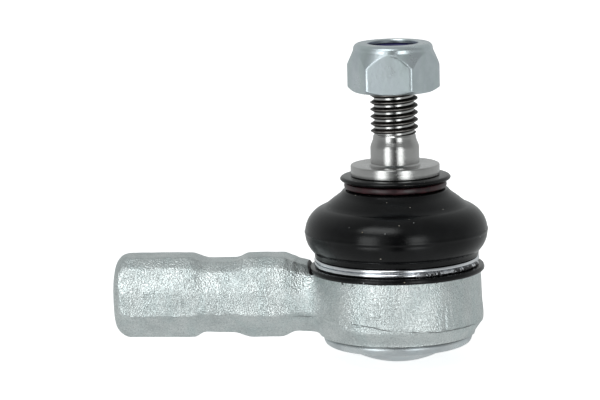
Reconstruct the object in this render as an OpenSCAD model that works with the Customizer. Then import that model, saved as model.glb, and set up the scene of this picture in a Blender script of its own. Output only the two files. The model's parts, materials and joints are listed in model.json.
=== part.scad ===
// Tie rod end: a ball stud in a forged housing, sealed by a rubber boot, with a lock nut.
// Lengths are in millimetres. The origin is the centre of the stud's seating face, where the
// steering arm rests. +Z runs up the stud, and the threaded shank points along -X.
// Heights in the outlines below are counted from the centre of the ball.

/* [Ball stud] */
// Diameter of the ball
ball_d = 20; // [19:0.5:20]
// Height of the seating face above the centre of the ball
seat_height = 27.5; // [27.5:0.1:30]
// Diameter of the neck between the ball and the boot
stud_neck_d = 9.8; // [8.5:0.1:10]
// Diameter of the land that the boot's neck grips
boot_land_d = 15; // [14:0.1:15.5]
// Diameter of the flange under the steering arm
flange_d = 18.6; // [16:0.1:20]
// Thickness of the flange
flange_t = 2.3; // [1.8:0.1:2.4]
// Diameter of the straight pin that fills the steering arm's hole
pin_d = 10.2; // [10.1:0.05:11]
// Length of the straight pin
pin_len = 4; // [3:0.1:4.4]
// Major diameter of the stud's metric fine thread
stud_thread_d = 10; // [9.9:0.1:10]
// Height of the stud's end above the seating face
stud_len = 22.4; // [20:0.1:23]

/* [Lock nut] */
// Width across the nut's flats
nut_af = 17; // [16:0.5:18]
// Height of the nut with its collar
nut_h = 10; // [9:0.1:11]
// Height of the nut's underside above the seating face
nut_z = 15.4; // [10:0.1:15.4]
// Height of the six-sided part, below the collar
nut_hex_h = 8.6; // [8:0.1:8.8]
// Diameter of the collar that holds the nylon ring
nut_collar_d = 16.6; // [16.2:0.1:16.6]
// Turn of the hexagon about the stud
nut_yaw = -3; // [-30:1:30]

/* [Housing] */
// Diameter of the housing under the boot
housing_top_d = 35; // [34:0.5:36]
// Largest diameter of the housing
housing_d = 36; // [36:0.5:38]
// Height of the shoulder that the boot stands on
shoulder_z = 5; // [4.5:0.1:5]
// Height of the housing's mouth
mouth_z = 9; // [8.8:0.1:9]
// Depth of the rolled rim below the centre of the ball
rim_depth = 10.5; // [10.4:0.1:11]
// Diameter of the bore for the bearing shells
socket_d = 24.2; // [24.2:0.1:24.6]

/* [Shank] */
// Distance from the stud's axis to the shank's end
shank_len = 59.3; // [56:0.1:64]
// Height of the shank's forged section
shank_h = 17; // [16:0.5:18]
// Share of the section that is left at the waist
waist_share = 0.88; // [0.8:0.01:0.95]
// Tapping diameter of the M12 fine thread for the tie rod
rod_bore_d = 10.5; // [10:0.1:10.8]
// Depth of the tie rod's threaded bore
rod_bore_len = 25; // [20:1:26]

/* [Boot and rings] */
// Largest diameter of the boot
boot_d = 38.4; // [37:0.2:39]
// Diameter of the boot's upper lip
boot_lip_d = 23.2; // [22:0.2:24]
// Thickness of the boot's wall
boot_wall = 1.6; // [1.4:0.1:1.8]
// Diameter of the boot's bottom lip
boot_foot_d = 36.7; // [36:0.1:37]
// Outer diameter of the small ring round the boot's neck
neck_ring_d = 21.6; // [21:0.1:22]
// Diameter of the wire in the two-turn clamp ring
clamp_wire_d = 0.92; // [0.8:0.02:0.94]

/* [Cap and preload] */
// Outer radius of curvature of the domed closing cap
dome_r = 20.4; // [20.2:0.1:20.6]
// Thickness of the closing cap
cap_t = 1.5; // [1.3:0.1:1.5]
// Outer diameter of the disc spring
spring_d = 12.6; // [12:0.1:12.6]

/* [Fits] */
// Running clearance between the ball and its bearing shells
ball_gap = 0.05; // [0.02:0.01:0.08]
// Gap between soft or threaded pieces that move on each other
soft_gap = 0.05; // [0.04:0.01:0.08]

/* [Hidden] */
$fn = 96;

eps = 0.01;
ball_r = ball_d / 2;
shell_r = socket_d / 2 - 0.05;
cap_flange_z = -rim_depth + 0.6;         // underside of the cap's flange, on the rolled rim
cap_top_z = cap_flange_z + cap_t;        // shoulder that the cap is pressed against
cap_r = 13.9;
dome_edge_r = 12.45;
dome_z = cap_flange_z + sqrt(dome_r * dome_r - dome_edge_r * dome_edge_r);
lip_under_z = mouth_z - 3.4;             // underside of the lip that keeps the ball in
floor_z = -ball_r - ball_gap - 0.7;      // underside of the lower bearing shell
clamp_r = 16.82;                         // middle of the clamp ring's wire
clamp_z = shoulder_z + 1.75;
neck_ring_z = seat_height - 4.3;
thread_r = stud_thread_d / 2 - soft_gap;
nut_bore_r = stud_thread_d / 2 + soft_gap;
shank_share = shank_h / 17;

// Points of an arc in an outline, from angle a0 to a1
function arc(x, z, r, a0, a1, n = 8) =
    [for (i = [0:n]) let (a = a0 + (a1 - a0) * i / n) [x + r * cos(a), z + r * sin(a)]];

// Half of the shank's forged section as [across, up], from the top flat to the bottom flat
shank_side = [[3.2, 8.5], [5.9, 6.3], [8.5, 1.8], [8.5, -3], [3.6, -8.5]];
function shank_section(share) = share * shank_share
    * concat(shank_side, [for (i = [len(shank_side) - 1:-1:0]) [-shank_side[i][0], shank_side[i][1]]]);

module at_ball() {
    translate([0, 0, -seat_height]) children();
}

// A length of shank between two distances from the stud's axis
module shank_bar(from, to, share = 1) {
    translate([-to, 0, 0])
        rotate([90, 0, 90])
            linear_extrude(to - from) polygon(shank_section(share));
}

// A ramp between two sizes of shank section
module shank_ramp(from, to, share_from, share_to) {
    hull() {
        shank_bar(from, from + eps, share_from);
        shank_bar(to - eps, to, share_to);
    }
}

// Full end, waist, ridge and the narrower neck that runs into the housing
module shank() {
    neck_share = 0.86;
    difference() {
        union() {
            intersection() {
                shank_bar(43.2, shank_len);
                rounded_end();
            }
            shank_ramp(40, 43.2, waist_share, 1);
            shank_bar(33.8, 40, waist_share);
            shank_ramp(31.2, 33.8, 1, waist_share);
            shank_bar(23.8, 31.2);
            shank_ramp(19.5, 23.8, neck_share, 1);
            shank_bar(10, 19.5, neck_share);
        }
        rod_bore();
        boot_clearance();
    }
}

// Turned step at the shank's root, which leaves room for the boot's foot and its clamp ring
module boot_clearance() {
    gap = 0.4;
    cylinder_between(shoulder_z, shank_h, boot_foot_d / 2 + gap);
}

// Turned rounding on the end of the shank
module rounded_end() {
    corner = 2.8;
    end_r = 6.3;
    translate([-shank_len, 0, 0])
        rotate([0, 90, 0])
            rotate_extrude()
                polygon(concat(
                    [[0, 0]], [for (p = arc(end_r, corner, corner, -90, 0)) p],
                    [[end_r + corner, corner], [11, 6], [11, shank_len - 43.2 + eps], [0, shank_len - 43.2 + eps]]
                ));
}

// Tapped bore for the tie rod, with its drill point and lead-in
module rod_bore() {
    r = rod_bore_d / 2;
    lead = 0.9;
    translate([-shank_len, 0, 0])
        rotate([0, 90, 0]) {
            cylinder(r = r, h = rod_bore_len);
            translate([0, 0, rod_bore_len - eps]) cylinder(r1 = r, r2 = 0, h = r * tan(31));
            translate([0, 0, -eps]) cylinder(r1 = r + lead, r2 = r, h = lead);
        }
}

module housing_outline() {
    top_r = housing_top_d / 2;
    r = housing_d / 2;
    groove_r = 15;
    polygon(concat(
        [[0, -rim_depth], [14.3, -rim_depth]], arc(14.3, -rim_depth + 1.2, 1.2, -80, 0, 5),
        [[15.55, -8.9], [15.35, -8.6], [15.75, -8.3], [16.1, -7.8]],
        [[r - 0.5, -5.9], [r, -5.2], [top_r, shoulder_z]],
        [[groove_r, shoulder_z], [groove_r, shoulder_z + 3.1], [groove_r + 0.65, shoulder_z + 3.4]],
        [[groove_r + 0.65, mouth_z - 0.4], [groove_r + 0.25, mouth_z], [0, mouth_z]]
    ));
}

module socket() {
    cylinder_between(-rim_depth - eps, cap_flange_z - 0.02, 12.6);
    cylinder_between(cap_flange_z - 0.02, cap_top_z, cap_r + 0.05);
    cylinder_between(cap_top_z - eps, lip_under_z, socket_d / 2);
    translate([0, 0, lip_under_z - eps]) cylinder(r1 = 8.6, r2 = 10, h = mouth_z - lip_under_z + 2 * eps);
}

module cylinder_between(low, high, r) {
    translate([0, 0, low]) cylinder(r = r, h = high - low);
}

module housing() {
    color("lightsteelblue")
        at_ball()
            difference() {
                union() {
                    rotate_extrude() housing_outline();
                    shank();
                }
                socket();
            }
}

// Pressed steel cap, held by the rolled rim
module closing_cap() {
    color("silver")
        at_ball()
            difference() {
                union() {
                    cylinder_between(cap_flange_z, cap_top_z - 0.02, cap_r);
                    intersection() {
                        translate([0, 0, dome_z]) sphere(dome_r);
                        cylinder_between(dome_z - dome_r - 1, cap_flange_z + eps, dome_edge_r);
                    }
                }
                translate([0, 0, dome_z]) sphere(dome_r - cap_t);
            }
}

// Disc spring that pushes the lower bearing shell up against the ball
module preload_spring() {
    r = spring_d / 2;
    t = 0.5;
    inner_r = 2.6;
    top = floor_z - 0.05;
    rim = dome_z - sqrt(pow(dome_r - cap_t, 2) - r * r) + 0.03;
    color("dimgray")
        at_ball()
            rotate_extrude()
                polygon([[inner_r, top], [r, rim + t], [r, rim], [inner_r, top - t]]);
}

module ball_hollow() {
    sphere(ball_r + ball_gap);
}

module lower_bearing_shell() {
    color("ivory")
        at_ball()
            difference() {
                rotate_extrude()
                    polygon([[0, floor_z], [5, floor_z], [shell_r, -6], [shell_r, -0.05], [0, -0.05]]);
                ball_hollow();
            }
}

// The upper shell has grease grooves that run up from the ball's waist
module upper_bearing_shell() {
    grooves = 6;
    groove_w = 1.2;
    color("ivory")
        at_ball()
            difference() {
                cylinder_between(0.05, lip_under_z - 0.05, shell_r);
                ball_hollow();
                for (i = [0:grooves - 1])
                    rotate([0, 0, i * 360 / grooves + 30])
                        translate([6, -groove_w / 2, -1])
                            cube([ball_r + 0.5 - 6, groove_w, lip_under_z + 2]);
            }
}

module ball_stud() {
    neck_r = stud_neck_d / 2;
    pin_r = pin_d / 2;
    seal_z = seat_height - flange_t;
    relief_r = 4.45;
    relief_z = pin_len + 1.3;
    thread_z = 6.1;
    flat_z = -ball_r + 0.4;
    neck_z = sqrt(ball_r * ball_r - neck_r * neck_r);
    color("gray")
        at_ball() {
            intersection() {
                sphere(ball_r);
                cylinder_between(flat_z, ball_r, ball_r + 1);
            }
            rotate_extrude()
                polygon([
                    [0, 0], [neck_r, neck_z - 0.6], [neck_r, 16.6], [neck_r + 0.6, 18], [boot_land_d / 2, 20.6],
                    [boot_land_d / 2, seal_z], [flange_d / 2 - 0.3, seal_z], [flange_d / 2, seal_z + 0.3],
                    [flange_d / 2, seat_height - 0.3], [flange_d / 2 - 0.3, seat_height], [0, seat_height]
                ]);
            translate([0, 0, seat_height]) {
                cylinder_between(-eps, pin_len, pin_r);
                translate([0, 0, pin_len - eps]) cylinder(r1 = pin_r, r2 = relief_r, h = 1.3 + eps);
                cylinder_between(relief_z - eps, thread_z + eps, relief_r);
                cylinder_between(thread_z, stud_len - 1, thread_r);
                translate([0, 0, stud_len - 1 - eps]) cylinder(r1 = thread_r, r2 = thread_r - 1, h = 1);
            }
        }
}

// Rubber boot: foot in the housing's groove, round bulge, waist for the small ring and flared lip
module dust_boot() {
    foot_r = boot_foot_d / 2;
    bulge_r = 5.7;
    bulge_x = boot_d / 2 - bulge_r;
    bulge_z = shoulder_z + 8.4;
    hook_r = 15 + soft_gap;
    room_r = hook_r + 0.7;
    ring_r = 9.6;
    top = seat_height - flange_t - soft_gap;
    land_r = boot_land_d / 2 + soft_gap;
    foot_z = shoulder_z + soft_gap;
    seat_r = clamp_r - clamp_wire_d / 2 - soft_gap;
    outside = concat(
        [[hook_r, foot_z], [foot_r - 0.4, foot_z], [foot_r, foot_z + 0.4], [foot_r - 0.1, foot_z + 1.15]],
        [[seat_r, foot_z + 1.2], [seat_r, foot_z + 3.1], [17.2, foot_z + 3.2]],
        arc(bulge_x, bulge_z, bulge_r, -49, 76, 12),
        [[12.98, 20.6], [11.2, 21.8], [10.9, 22.3], [ring_r, 22.4], [ring_r, 24]],
        [[boot_lip_d / 2, 24.3], [boot_lip_d / 2, 24.8], [boot_lip_d / 2 - 0.5, 25.2], [9.6, top], [land_r, top]]
    );
    inside = concat(
        [[land_r, 21.4], [8.6, 20.6]],
        arc(bulge_x, bulge_z, bulge_r - boot_wall, 86, -49, 10),
        [[room_r, foot_z + 4.2], [room_r, foot_z + 3.35], [hook_r, foot_z + 3.05]]
    );
    color([0.1, 0.1, 0.1]) at_ball() rotate_extrude() polygon(concat(outside, inside));
}

// Small ring that closes the boot's neck on the stud
module upper_boot_ring() {
    inner_r = 9.6 + soft_gap;
    outer_r = neck_ring_d / 2;
    half = 0.65;
    round = 0.35;
    color([0.25, 0.08, 0.07])
        at_ball()
            translate([0, 0, neck_ring_z])
                rotate_extrude()
                    polygon(concat(
                        [[inner_r, -half], [outer_r - round, -half]],
                        arc(outer_r - round, -half + round, round, -60, 0, 3),
                        arc(outer_r - round, half - round, round, 0, 60, 3),
                        [[outer_r - round, half], [inner_r, half]]
                    ));
}

// Spring wire wound twice round the boot's foot, drawn as two turns side by side
module lower_boot_ring() {
    pitch = clamp_wire_d - 0.04;
    color("lightgray")
        at_ball()
            rotate_extrude()
                union() {
                    for (turn = [0:1]) translate([clamp_r, clamp_z + turn * pitch]) circle(d = clamp_wire_d, $fn = 24);
                }
}

// Hexagon with turned corners below and a rounded collar above
module lock_nut() {
    corner_r = nut_af / sqrt(3);
    collar_r = nut_collar_d / 2;
    cone_h = 3.6;
    edge_r = 1.1;
    pocket_r = 7.05;
    pocket_z = 7.1;
    lip_r = 5.3;
    color("lightsteelblue")
        translate([0, 0, nut_z])
            rotate([0, 0, nut_yaw])
                difference() {
                    union() {
                        intersection() {
                            cylinder(r = corner_r, h = nut_hex_h, $fn = 6);
                            rotate_extrude()
                                polygon([[0, 0], [nut_af / 2 + 0.05, 0], [corner_r + 0.1, 0.95],
                                    [corner_r + 0.1, nut_hex_h - cone_h], [collar_r, nut_hex_h],
                                    [0, nut_hex_h]]);
                        }
                        rotate_extrude()
                            polygon(concat([[0, nut_hex_h - 1], [collar_r, nut_hex_h - 1]],
                                arc(collar_r - edge_r, nut_h - edge_r, edge_r, 0, 90, 6), [[0, nut_h]]));
                    }
                    translate([0, 0, -eps]) cylinder(r = nut_bore_r, h = nut_h + 1);
                    translate([0, 0, pocket_z]) cylinder(r = pocket_r, h = nut_h - 0.7 - pocket_z);
                    translate([0, 0, nut_h - 0.7 - eps]) cylinder(r = lip_r, h = 1);
                }
}

// Nylon ring under the collar's rolled edge
module nut_insert() {
    color("lavender")
        translate([0, 0, nut_z])
            difference() {
                cylinder_between(7.1 + soft_gap, nut_h - 0.7 - soft_gap, 7.05 - soft_gap);
                cylinder_between(7, nut_h, nut_bore_r);
            }
}

housing();
closing_cap();
preload_spring();
lower_bearing_shell();
upper_bearing_shell();
ball_stud();
dust_boot();
upper_boot_ring();
lower_boot_ring();
lock_nut();
nut_insert();
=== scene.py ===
import json
import math

import bmesh
import bpy
from mathutils import Matrix, Vector, noise


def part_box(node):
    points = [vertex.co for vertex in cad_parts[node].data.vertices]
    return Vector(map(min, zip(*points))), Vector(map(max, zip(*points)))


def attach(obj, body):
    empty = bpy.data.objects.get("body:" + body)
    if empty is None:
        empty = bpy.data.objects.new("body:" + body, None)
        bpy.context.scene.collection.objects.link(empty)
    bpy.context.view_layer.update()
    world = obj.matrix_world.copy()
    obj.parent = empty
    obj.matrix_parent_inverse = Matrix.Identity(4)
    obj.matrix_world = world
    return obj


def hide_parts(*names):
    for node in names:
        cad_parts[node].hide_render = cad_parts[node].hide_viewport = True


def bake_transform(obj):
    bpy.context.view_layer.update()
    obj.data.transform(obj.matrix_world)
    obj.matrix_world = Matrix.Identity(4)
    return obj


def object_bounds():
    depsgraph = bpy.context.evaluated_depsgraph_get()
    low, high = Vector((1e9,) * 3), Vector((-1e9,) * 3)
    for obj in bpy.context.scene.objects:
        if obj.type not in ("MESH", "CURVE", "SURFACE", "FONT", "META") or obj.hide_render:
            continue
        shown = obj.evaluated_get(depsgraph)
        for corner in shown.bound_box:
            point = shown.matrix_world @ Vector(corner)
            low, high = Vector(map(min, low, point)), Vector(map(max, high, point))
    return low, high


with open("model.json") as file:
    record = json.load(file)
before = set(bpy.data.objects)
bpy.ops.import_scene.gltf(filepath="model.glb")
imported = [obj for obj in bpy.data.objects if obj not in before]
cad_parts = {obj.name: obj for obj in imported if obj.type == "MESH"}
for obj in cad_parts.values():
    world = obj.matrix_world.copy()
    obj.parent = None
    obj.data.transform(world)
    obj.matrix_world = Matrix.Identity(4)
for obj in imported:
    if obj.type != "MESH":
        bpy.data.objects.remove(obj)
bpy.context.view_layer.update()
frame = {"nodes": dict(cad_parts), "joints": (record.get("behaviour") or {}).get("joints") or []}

# Shapes are modelled in millimetres with their heights counted from the centre of the ball,
# and go into metres and into place when a piece is finished.
ballCentre = Vector(next(joint["pos_m"] for joint in frame["joints"] if joint["name"] == "stud_tilt"))
intoPlace = Matrix.Translation(ballCentre) @ Matrix.Scale(0.001, 4)
steelThread = {"pitch": 1.5, "root": 0.2, "crest": 0.06}


def cadBox(node):
    return [(corner - ballCentre) * 1000 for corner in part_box(node)]


def along(points, place):
    # Value on a line through (place, value) points, eased between them
    for (startPlace, startValue), (endPlace, endValue) in zip(points, points[1:]):
        if place <= endPlace:
            share = max(0, (place - startPlace) / (endPlace - startPlace))
            return startValue + (endValue - startValue) * share * share * (3 - 2 * share)
    return points[-1][1]


# Mesh tools

def turned(outline, steps=128):
    # Spins a closed outline of (radius, height, rounding) corners about the vertical axis
    bm = bmesh.new()
    corners = [bm.verts.new((radius, 0, height)) for radius, height, rounding in outline]
    for start, end in zip(corners, corners[1:] + corners[:1]):
        if start.co.x > 0 or end.co.x > 0:
            bm.edges.new((start, end))
    for rounding in sorted({point[2] for point in outline if point[2]}):
        same = [corner for corner, point in zip(corners, outline) if point[2] == rounding]
        bmesh.ops.bevel(bm, geom=same, offset=rounding, offset_type="OFFSET", affect="VERTICES",
                        segments=4, profile=0.5, material=-1)
    bmesh.ops.spin(bm, geom=bm.verts[:] + bm.edges[:], axis=(0, 0, 1), cent=(0, 0, 0),
                   angle=math.tau, steps=steps, use_merge=True)
    bmesh.ops.remove_doubles(bm, verts=bm.verts, dist=0.0005)
    bmesh.ops.recalc_face_normals(bm, faces=bm.faces)
    return bm


def arc(radius, height, size, fromAngle, toAngle, steps=10):
    # Corners of an arc in an outline, angles in degrees from straight outwards
    angles = [math.radians(fromAngle + (toAngle - fromAngle) * step / steps) for step in range(steps + 1)]
    return [(radius + size * math.cos(angle), height + size * math.sin(angle), 0) for angle in angles]


def threaded(rootRadius, crestRadius, low, high, steps=72):
    # Solid right-handed thread: one pitch of its outline climbs round the axis
    pitch = steelThread["pitch"]
    first = math.floor(low / pitch) * pitch - pitch
    turns = math.ceil((high - first) / pitch)
    root, crest = steelThread["root"] / 2 * pitch, steelThread["crest"] * pitch
    bm = bmesh.new()
    outline = [(rootRadius, 0), (rootRadius, root), (crestRadius, pitch / 2 - crest),
               (crestRadius, pitch / 2 + crest), (rootRadius, pitch - root), (rootRadius, pitch)]
    corners = [bm.verts.new((radius, 0, first + height)) for radius, height in outline]
    edges = [bm.edges.new(pair) for pair in zip(corners, corners[1:])]
    bmesh.ops.spin(bm, geom=corners + edges, axis=(0, 0, 1), cent=(0, 0, 0), dvec=(0, 0, pitch / steps),
                   angle=math.tau * turns, steps=steps * turns, use_merge=False)
    bmesh.ops.remove_doubles(bm, verts=bm.verts, dist=0.001)
    for end, side in ((first + pitch / 2, -1), (first + (turns + 0.5) * pitch, 1)):
        rim = [edge for edge in bm.edges if edge.is_boundary
               and side * (edge.verts[0].co.z - first - turns * pitch / 2) > 0]
        made = bmesh.ops.extrude_edge_only(bm, edges=rim)["geom"]
        inner = [vert for vert in made if isinstance(vert, bmesh.types.BMVert)]
        bmesh.ops.pointmerge(bm, verts=inner, merge_co=(0, 0, end))
    bmesh.ops.recalc_face_normals(bm, faces=bm.faces)
    return bm


def newPiece(name, bm, *materials):
    mesh = bpy.data.meshes.new(name)
    bm.to_mesh(mesh)
    bm.free()
    for material in materials:
        mesh.materials.append(material)
    piece = bpy.data.objects.new(name, mesh)
    bpy.context.scene.collection.objects.link(piece)
    return piece


def applyModifiers(piece):
    bpy.context.view_layer.update()
    graph = bpy.context.evaluated_depsgraph_get()
    mesh = bpy.data.meshes.new_from_object(piece.evaluated_get(graph), depsgraph=graph)
    piece.modifiers.clear()
    worn = piece.data
    piece.data = mesh
    bpy.data.meshes.remove(worn)


def combine(piece, operation, bm, material=None, turn=None):
    # Boolean of a piece with a second shape, whose faces bring their own finish
    if turn:
        bm.transform(turn)
    tool = newPiece("tool", bm, *([material] if material else piece.data.materials))
    step = piece.modifiers.new(operation, "BOOLEAN")
    step.operation, step.object, step.solver, step.material_mode = operation, tool, "MANIFOLD", "TRANSFER"
    applyModifiers(piece)
    bpy.data.objects.remove(tool)


def takeMesh(piece):
    # The piece's mesh as a bmesh; the piece itself goes
    bm = bmesh.new()
    bm.from_mesh(piece.data)
    bpy.data.objects.remove(piece)
    return bm


def reshape(piece, change):
    bm = bmesh.new()
    bm.from_mesh(piece.data)
    change(bm)
    bm.to_mesh(piece.data)
    bm.free()


def smooth(bm, verts, times):
    for _ in range(times):
        bmesh.ops.smooth_vert(bm, verts=verts, factor=0.5, use_axis_x=True, use_axis_y=True, use_axis_z=True)


def softened(piece, voxel, share, change):
    # Forged and pressed shapes: an even skin, changed while it is fine, then thinned
    skin = piece.modifiers.new("skin", "REMESH")
    skin.mode, skin.voxel_size = "VOXEL", voxel
    applyModifiers(piece)
    reshape(piece, change)
    thin = piece.modifiers.new("thin", "DECIMATE")
    thin.ratio = share
    applyModifiers(piece)


def finishPiece(piece, slot, *nodes, body=None, sharp=32):
    piece.data.transform(intoPlace)
    piece.data.shade_smooth()
    piece.data.set_sharp_from_angle(angle=math.radians(sharp))
    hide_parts(*nodes)
    if body:
        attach(piece, body)
    print(piece.name, "faces", len(piece.data.polygons))
    return piece


# Shader tools

def addNode(tree, kind, inputs=None, **settings):
    node = tree.nodes.new("ShaderNode" + kind)
    for name, value in settings.items():
        setattr(node, name, value)
    for name, value in (inputs or {}).items():
        if isinstance(value, bpy.types.NodeSocket):
            tree.links.new(value, node.inputs[name])
        else:
            node.inputs[name].default_value = value
    return node


def calculate(tree, operation, first, second=0.0, third=0.0):
    return addNode(tree, "Math", {0: first, 1: second, 2: third}, operation=operation).outputs[0]


def scaled(tree, value, share):
    return calculate(tree, "MULTIPLY", value, share)


def ranged(tree, value, low, high, toLow=0.0, toHigh=1.0):
    settings = {"Value": value, "From Min": low, "From Max": high, "To Min": toLow, "To Max": toHigh}
    return addNode(tree, "MapRange", settings, interpolation_type="SMOOTHSTEP").outputs["Result"]


def mixed(tree, share, first, second):
    node = addNode(tree, "Mix", data_type="RGBA")
    for socket, value in (("Factor_Float", share), ("A_Color", first), ("B_Color", second)):
        target = next(item for item in node.inputs if item.identifier == socket)
        if isinstance(value, bpy.types.NodeSocket):
            tree.links.new(value, target)
        else:
            target.default_value = value if isinstance(value, float) else (*value[:3], 1)
    return next(item for item in node.outputs if item.identifier == "Result_Color")


def mixedValue(tree, share, first, second):
    gap = calculate(tree, "SUBTRACT", second, first)
    return calculate(tree, "MULTIPLY_ADD", gap, share, first)


def noisy(tree, place, scale, detail=2.0, roughness=0.5, distortion=0.0):
    settings = {"Vector": place, "Scale": scale, "Detail": detail, "Roughness": roughness,
                "Distortion": distortion}
    return addNode(tree, "TexNoise", settings).outputs["Fac"]


def stretched(tree, place, scale):
    return addNode(tree, "Mapping", {"Vector": place, "Scale": scale}).outputs["Vector"]


def newGroup(name, inputs, outputs):
    group = bpy.data.node_groups.new(name, "ShaderNodeTree")
    for direction, sockets in (("INPUT", inputs), ("OUTPUT", outputs)):
        for socket, value in sockets.items():
            kind = {float: "NodeSocketFloat", str: "NodeSocketVector", tuple: "NodeSocketColor"}[type(value)]
            made = group.interface.new_socket(name=socket, in_out=direction, socket_type=kind)
            if direction == "INPUT" and not isinstance(value, str):
                made.default_value = value if isinstance(value, float) else (*value, 1)
    return group, group.nodes.new("NodeGroupInput").outputs, group.nodes.new("NodeGroupOutput").inputs


def useGroup(tree, group, **inputs):
    node = tree.nodes.new("ShaderNodeGroup")
    node.node_tree = group
    for name, value in inputs.items():
        if isinstance(value, bpy.types.NodeSocket):
            tree.links.new(value, node.inputs[name])
        else:
            node.inputs[name].default_value = value if isinstance(value, float) else (*value, 1)
    return node.outputs


def newMaterial(name, fixed=None):
    material = bpy.data.materials.new(name)
    material.use_nodes = True
    tree = material.node_tree
    for socket, value in (fixed or {}).items():
        tree.nodes["Principled BSDF"].inputs[socket].default_value = value
    place = addNode(tree, "TexCoord").outputs["Object"]
    return material, tree, place


def finishMaterial(material, color, rough=None, height=None, depth=0.0, metal=None):
    # depth is how far white stands above black in the height, in metres
    tree = material.node_tree
    bump = None
    if height is not None:
        bump = addNode(tree, "Bump", {"Height": height, "Distance": depth}).outputs["Normal"]
    shader = tree.nodes["Principled BSDF"]
    for name, value in (("Base Color", color), ("Roughness", rough), ("Metallic", metal), ("Normal", bump)):
        if value is not None:
            tree.links.new(value, shader.inputs[name])
    return material


# Shared surface effects

def makeBlastedGrain():
    # Tiny overlapping craters left by shot blasting, with a mask of some crater floors that is used for
    # painted glints
    group, given, out = newGroup("blastedGrain", {"Place": "", "Scale": 3500.0, "Unevenness": 0.5},
                                 {"Height": 0.0, "Glint": 0.0})
    crater = addNode(group, "TexVoronoi", {"Vector": given["Place"], "Scale": given["Scale"]},
                     feature="SMOOTH_F1")
    crater.inputs["Smoothness"].default_value = 0.35
    wide = noisy(group, given["Place"], 900.0, 3.0, 0.6)
    fine = noisy(group, given["Place"], 7000.0, 1.0)
    fineShare = scaled(group, fine, 0.3)
    rough = calculate(group, "MULTIPLY_ADD", wide, given["Unevenness"], fineShare)
    height = calculate(group, "ADD", crater.outputs["Distance"], rough)
    facet = addNode(group, "SeparateColor", {0: crater.outputs["Color"]}).outputs[0]
    group.links.new(height, out["Height"])
    group.links.new(ranged(group, facet, 0.55, 1.0), out["Glint"])
    return group


def makePlatingTone():
    # Cloudy colour of a zinc coat, with streaks where the bath ran off
    given = {"Place": "", "Scale": 120.0, "Light": (0.7, 0.7, 0.7), "Dark": (0.5, 0.5, 0.5),
             "Tint": (0.6, 0.7, 0.7)}
    group, given, out = newGroup("platingTone", given, {"Color": (0.0, 0.0, 0.0), "Cloud": 0.0})
    cloud = ranged(group, noisy(group, given["Place"], given["Scale"], 4.0, 0.62), 0.3, 0.72)
    streak = noisy(group, stretched(group, given["Place"], (260.0, 260.0, 40.0)), 1.0, 3.0, 0.6)
    tinted = ranged(group, streak, 0.42, 0.68)
    base = mixed(group, cloud, given["Dark"], given["Light"])
    color = mixed(group, scaled(group, tinted, 0.55), base, given["Tint"])
    group.links.new(color, out["Color"])
    group.links.new(cloud, out["Cloud"])
    return group


def makeHandlingMarks():
    # Fine scratches in two directions and a few pits
    group, given, out = newGroup("handlingMarks", {"Place": "", "Scale": 1.0, "Amount": 0.5},
                                 {"Scratch": 0.0, "Pit": 0.0})
    size = addNode(group, "VectorMath", {0: given["Place"]}, operation="SCALE")
    group.links.new(given["Scale"], size.inputs["Scale"])
    lines = []
    for scale in ((150.0, 300.0, 2600.0), (2400.0, 500.0, 170.0)):
        thin = noisy(group, stretched(group, size.outputs["Vector"], scale), 1.0, 1.0, 0.5, 0.6)
        away = calculate(group, "ABSOLUTE", calculate(group, "SUBTRACT", thin, 0.5))
        lines.append(ranged(group, away, 0.0, 0.012, 1.0, 0.0))
    patch = ranged(group, noisy(group, size.outputs["Vector"], 160.0, 2.0), 0.52, 0.66)
    scratch = scaled(group, calculate(group, "MAXIMUM", lines[0], lines[1]), patch)
    pits = addNode(group, "TexVoronoi", {"Vector": size.outputs["Vector"], "Scale": 420.0}, feature="F1")
    chosen = addNode(group, "SeparateColor", {0: pits.outputs["Color"]}).outputs[1]
    near = ranged(group, pits.outputs["Distance"], 0.05, 0.2, 1.0, 0.0)
    pit = scaled(group, near, ranged(group, chosen, 0.72, 0.8))
    group.links.new(scaled(group, scratch, given["Amount"]), out["Scratch"])
    group.links.new(scaled(group, pit, given["Amount"]), out["Pit"])
    return group


def makeDustSpecks():
    # Sparse specks of lint and grit, each with a colour of its own
    group, given, out = newGroup("dustSpecks", {"Place": "", "Scale": 700.0, "Share": 0.93, "Size": 0.16},
                                 {"Mask": 0.0, "Color": (0.0, 0.0, 0.0)})
    cells = addNode(group, "TexVoronoi", {"Vector": given["Place"], "Scale": given["Scale"]}, feature="F1")
    channels = addNode(group, "SeparateColor", {0: cells.outputs["Color"]}).outputs
    chosen = calculate(group, "GREATER_THAN", channels[0], given["Share"])
    size = scaled(group, given["Size"], calculate(group, "ADD", channels[1], 0.3))
    inside = calculate(group, "LESS_THAN", cells.outputs["Distance"], size)
    warm = mixed(group, channels[2], (0.34, 0.29, 0.20), (0.37, 0.39, 0.41))
    group.links.new(scaled(group, chosen, inside), out["Mask"])
    group.links.new(warm, out["Color"])
    return group


def makeLatheLines():
    # Fine turning rings: they follow the height on a turned side and the radius on a face
    group, given, out = newGroup("latheLines", {"Place": "", "Rings": 9000.0}, {"Height": 0.0, "Radius": 0.0})
    parts = addNode(group, "SeparateXYZ", {0: given["Place"]}).outputs
    acrossSquared = scaled(group, parts[1], parts[1])
    radius = calculate(group, "SQRT", calculate(group, "MULTIPLY_ADD", parts[0], parts[0], acrossSquared))
    both = scaled(group, calculate(group, "ADD", parts[2], radius), given["Rings"])
    turn = addNode(group, "TexNoise", {"W": both, "Scale": 1.0, "Detail": 2.0}, noise_dimensions="1D")
    group.links.new(turn.outputs["Fac"], out["Height"])
    group.links.new(radius, out["Radius"])
    return group


blastedGrain = makeBlastedGrain()
platingTone = makePlatingTone()
handlingMarks = makeHandlingMarks()
dustSpecks = makeDustSpecks()
latheLines = makeLatheLines()
print("surface effects ready")


# Materials

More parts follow.
